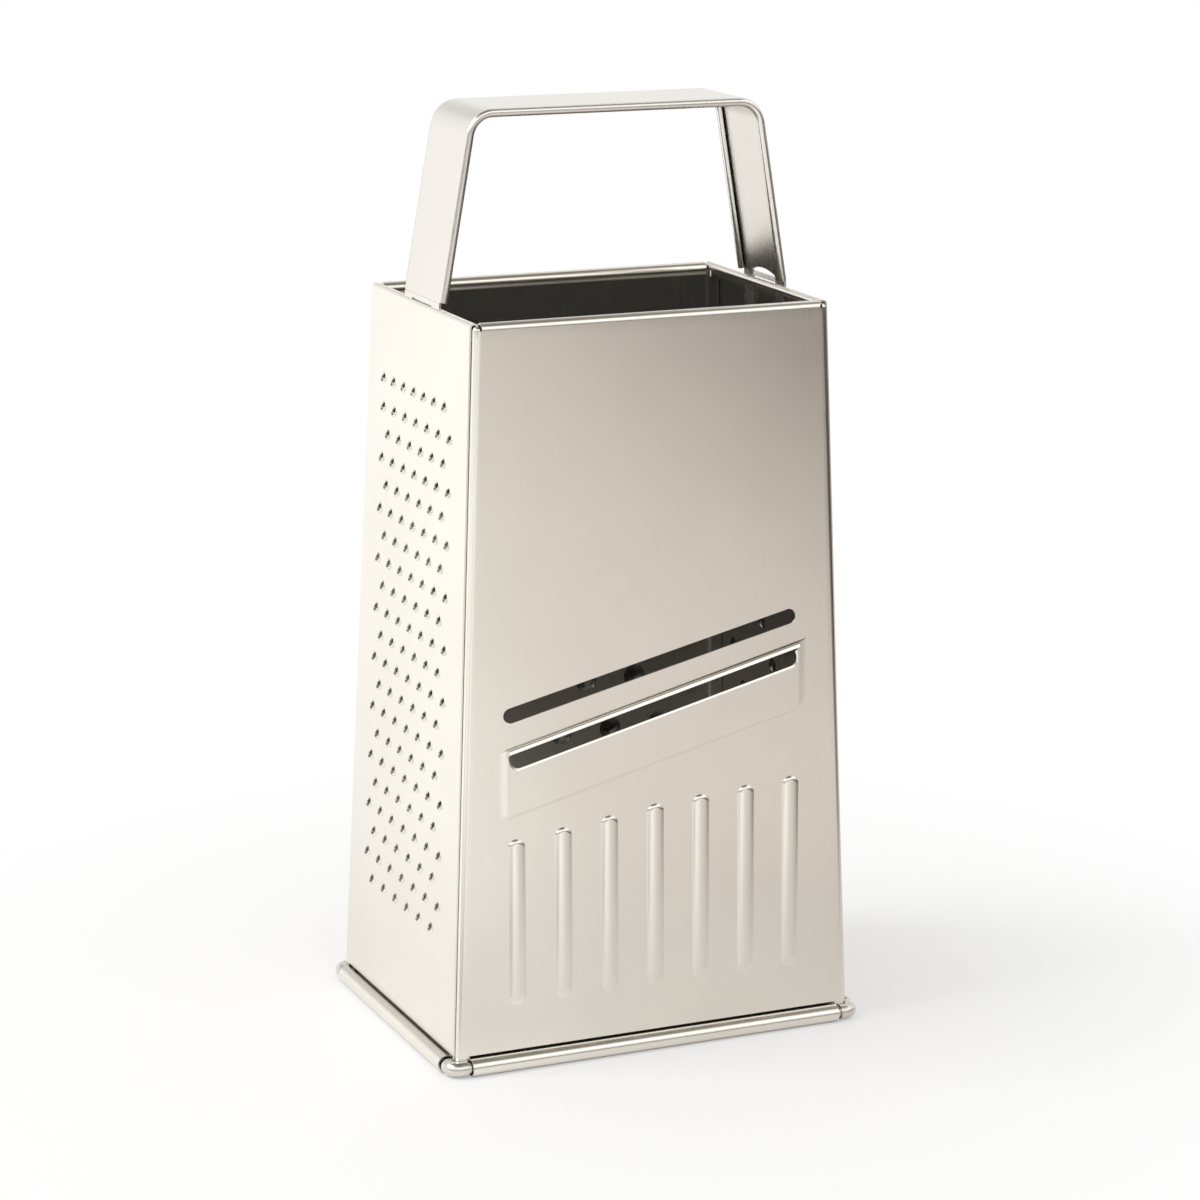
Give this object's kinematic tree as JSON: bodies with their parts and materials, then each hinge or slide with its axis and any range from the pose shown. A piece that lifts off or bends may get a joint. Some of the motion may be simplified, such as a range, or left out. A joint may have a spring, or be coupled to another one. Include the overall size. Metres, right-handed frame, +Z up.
{
  "type": "tower grater",
  "caption": "Four-sided tapered sheet-steel box grater with a strap handle, slicing, fine, medium and coarse sides and a wire-edged base.",
  "frame": {"origin": "middle of the footprint, on the table", "axes": "+Z up to the handle, +X to the right along the slicing side, +Y from the slicing side to the coarse side"},
  "size_m": [0.1052, 0.0782, 0.215],
  "materials": {
    "front_panel": "fine brushed stainless sheet",
    "left_panel": "fine brushed stainless sheet",
    "back_panel": "fine brushed stainless sheet",
    "right_panel": "fine brushed stainless sheet",
    "base_wire": "drawn stainless wire",
    "handle": "bright rolled stainless strap"
  },
  "bodies": {
    "root": {"front_panel": "front_panel", "left_panel": "left_panel", "back_panel": "back_panel", "right_panel": "right_panel", "base_wire": "base_wire", "handle": "handle"}
  },
  "joints": []
}
